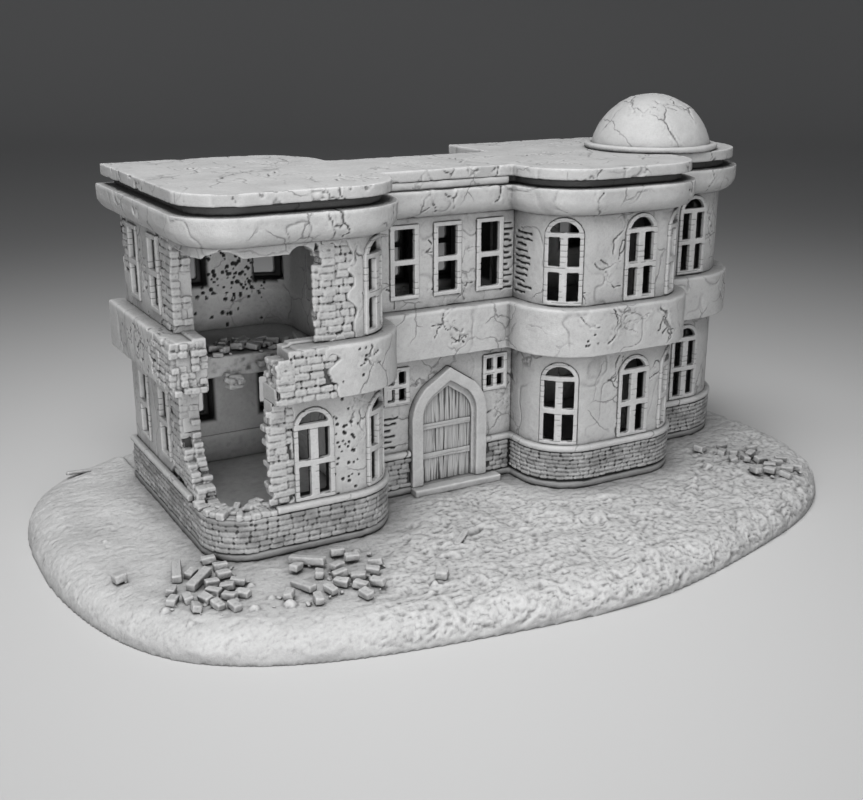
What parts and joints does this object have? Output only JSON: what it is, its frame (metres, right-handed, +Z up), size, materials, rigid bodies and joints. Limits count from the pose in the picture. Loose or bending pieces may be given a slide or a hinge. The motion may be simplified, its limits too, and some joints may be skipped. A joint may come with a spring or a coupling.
{
  "type": "terrain building",
  "caption": "Ruined two-storey brick and plaster building with a dome on a rough ground base; the roof and the upper storey lift off for play with miniatures.",
  "frame": {"origin": "centre of the underside of the terrain base, on the table", "axes": "+X along the facade to the right, seen from the front; +Y to the rear; +Z up"},
  "size_m": [0.3413, 0.2243, 0.1676],
  "materials": {
    "terrain": "matte grey primed resin with darker recesses",
    "rubble": "matte grey primed resin with darker recesses",
    "door_timber": "matte grey primed resin with darker recesses",
    "window_frame": "matte grey primed resin with darker recesses",
    "brick": "matte grey primed resin with darker recesses",
    "roof": "matte grey primed resin with darker recesses",
    "stone": "matte grey primed resin with darker recesses",
    "plaster": "matte grey primed resin with darker recesses"
  },
  "bodies": {
    "ground_storey": {"door_battens": "door_timber", "door_leaf": "door_timber", "door_step": "stone", "door_surround": "stone", "footing": "stone", "ground_floor": "stone", "ground_room_rubble": "rubble", "ground_wall_bay": "plaster", "ground_wall_centre_front": "plaster", "ground_wall_core": "plaster", "ground_wall_left_front": "plaster", "ground_wall_left_rear": "plaster", "ground_wall_left_side": "plaster", "ground_wall_right_rear": "plaster", "ground_wall_wing": "plaster", "ground_window_bay_front": "window_frame", "ground_window_bay_left": "window_frame", "ground_window_bay_right": "window_frame", "ground_window_centre": "window_frame", "ground_window_left_corner": "window_frame", "ground_window_left_front": "window_frame", "ground_window_left_side": "window_frame", "ground_window_rear": "window_frame", "ground_window_wing": "window_frame", "loose_stones": "rubble", "plinth_bay": "brick", "plinth_centre": "brick", "plinth_left": "brick", "plinth_moulding": "plaster", "plinth_rear": "brick", "plinth_wing": "brick", "rubble_beams": "rubble", "rubble_bricks": "rubble", "terrain_base": "terrain"},
    "upper_storey": {"belt_front": "plaster", "belt_rear": "plaster", "breach_lintel": "plaster", "cornice": "plaster", "upper_floor": "stone", "upper_room_rubble": "rubble", "upper_wall_bay": "plaster", "upper_wall_centre_front": "plaster", "upper_wall_core": "plaster", "upper_wall_left_front": "plaster", "upper_wall_left_rear": "plaster", "upper_wall_left_side": "plaster", "upper_wall_right_rear": "plaster", "upper_wall_wing": "plaster", "upper_window_bay_front": "window_frame", "upper_window_bay_left": "window_frame", "upper_window_bay_right": "window_frame", "upper_window_centre": "window_frame", "upper_window_left_corner": "window_frame", "upper_window_left_side": "window_frame", "upper_window_rear": "window_frame", "upper_window_wing": "window_frame"},
    "roof": {"roof_neck": "roof", "roof_slab": "roof", "dome_ring": "roof", "dome": "roof"}
  },
  "joints": [
    {"name": "upper_storey_lift", "type": "slide", "parent": "ground_storey", "child": "upper_storey", "axis": [0, 0, 1], "range_m": [0, 0.08]},
    {"name": "roof_lift", "type": "slide", "parent": "upper_storey", "child": "roof", "axis": [0, 0, 1], "range_m": [0, 0.05]}
  ]
}
